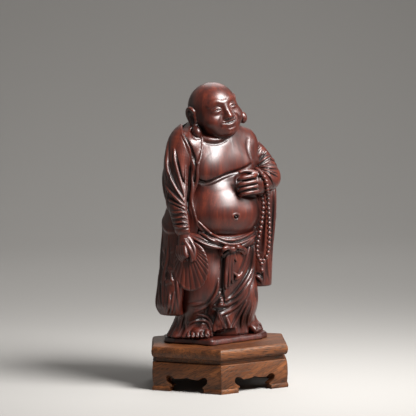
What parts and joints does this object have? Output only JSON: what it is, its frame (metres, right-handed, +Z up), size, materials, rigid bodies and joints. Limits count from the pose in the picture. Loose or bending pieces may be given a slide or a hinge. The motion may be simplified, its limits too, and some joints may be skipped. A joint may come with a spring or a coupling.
{
  "type": "laughing buddha statue",
  "caption": "Carved hardwood laughing buddha with a fan and a string of prayer beads, lifting off a low hexagonal arched stand.",
  "frame": {"origin": "on the table, under the middle of the hexagonal stand", "axes": "+Z up, the figure faces -Y, and +X points to its left hand"},
  "size_m": [0.1226, 0.1062, 0.2379],
  "materials": {
    "carved_wood": "waxed satin, dark red-brown",
    "stand_wood": "oiled satin, mid brown with open grain"
  },
  "bodies": {
    "stand": {"top_board": "stand_wood", "waist_board": "stand_wood", "apron_front": "stand_wood", "apron_front_left": "stand_wood", "apron_back_left": "stand_wood", "apron_back": "stand_wood", "apron_back_right": "stand_wood", "apron_front_right": "stand_wood", "corner_block_left": "stand_wood", "corner_block_back_left": "stand_wood", "corner_block_back_right": "stand_wood", "corner_block_right": "stand_wood", "corner_block_front_right": "stand_wood", "corner_block_front_left": "stand_wood", "peg_right": "stand_wood", "peg_left": "stand_wood"},
    "figure": {"ground_plate": "carved_wood", "skirt": "carved_wood", "right_foot": "carved_wood", "left_foot": "carved_wood", "torso": "carved_wood", "head": "carved_wood", "sash": "carved_wood", "bow": "carved_wood", "robe": "carved_wood", "right_drape": "carved_wood", "right_sleeve": "carved_wood", "right_hand": "carved_wood", "fan": "carved_wood", "left_drape": "carved_wood", "left_sleeve": "carved_wood", "left_hand": "carved_wood", "prayer_beads": "carved_wood"}
  },
  "joints": [
    {"name": "figure_lift", "type": "slide", "parent": "stand", "child": "figure", "axis": [0, 0, 1], "range_m": [0, 0.012]}
  ]
}
